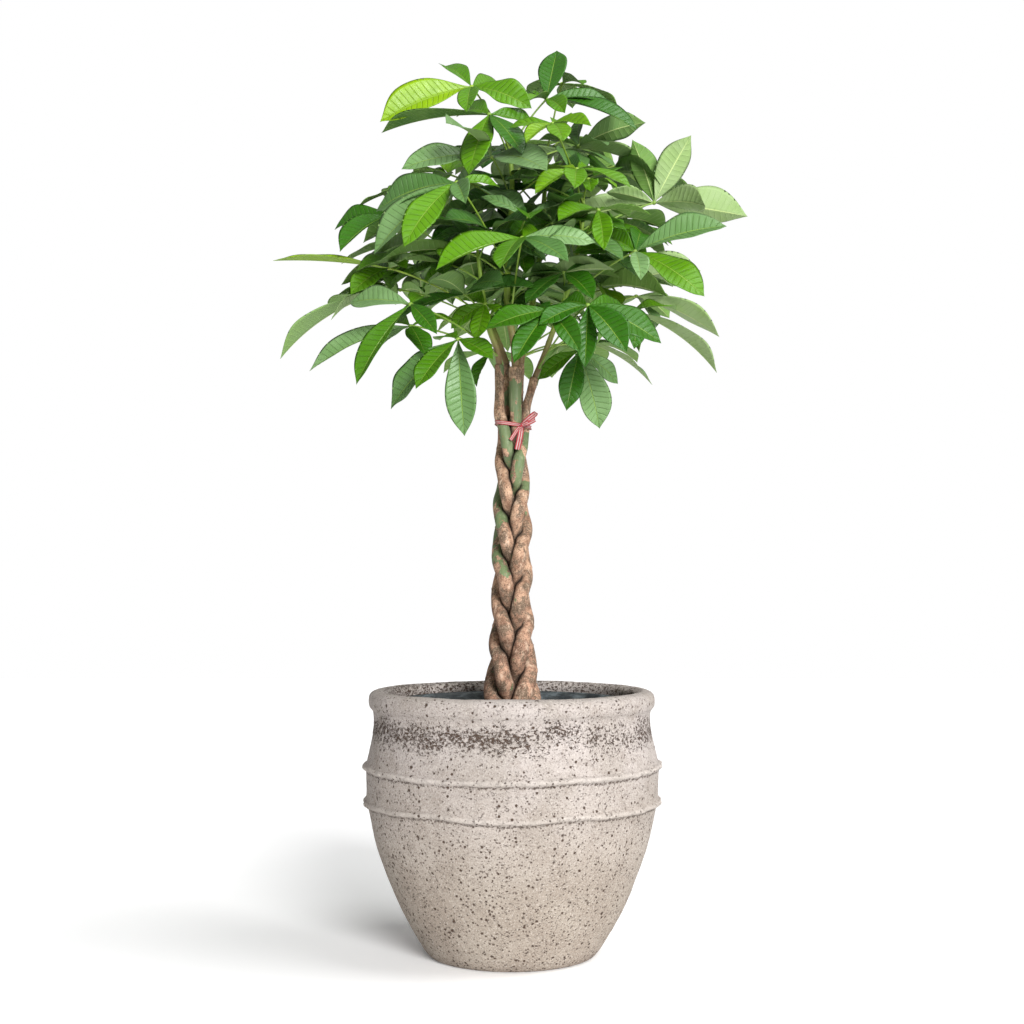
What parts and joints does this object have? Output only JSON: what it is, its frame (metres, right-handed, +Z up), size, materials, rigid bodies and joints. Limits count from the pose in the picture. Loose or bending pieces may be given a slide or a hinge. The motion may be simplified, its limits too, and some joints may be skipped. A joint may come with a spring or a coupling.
{
  "type": "potted money tree",
  "caption": "Standing indoor tree with braided stems, a round crown of palmate leaves and a ribbon tie, in a rounded speckled pot with a rolled rim.",
  "frame": {"origin": "centre of the pot's flat base, on the floor", "axes": "+Z up along the pot's axis, -Y toward the viewer of the picture, +X to the viewer's right"},
  "size_m": [0.7139, 0.5916, 1.37],
  "materials": {
    "pot": "matt fibre clay with dark pits and speckles",
    "liner": "smooth blue-grey",
    "soil": "granular potting soil",
    "bark": "brown bark with green patches",
    "leaf": "satin green leaf with paler veins and underside",
    "ribbon": "red and white striped ribbon"
  },
  "bodies": {
    "root": {"pot": "pot", "liner": "liner", "soil": "soil", "stem_1": "bark", "stem_2": "bark", "stem_3": "bark", "stem_4": "bark", "stem_5": "bark", "foliage_1": "leaf", "foliage_2": "leaf", "foliage_3": "leaf", "foliage_4": "leaf", "foliage_5": "leaf", "tie": "ribbon"}
  },
  "joints": []
}
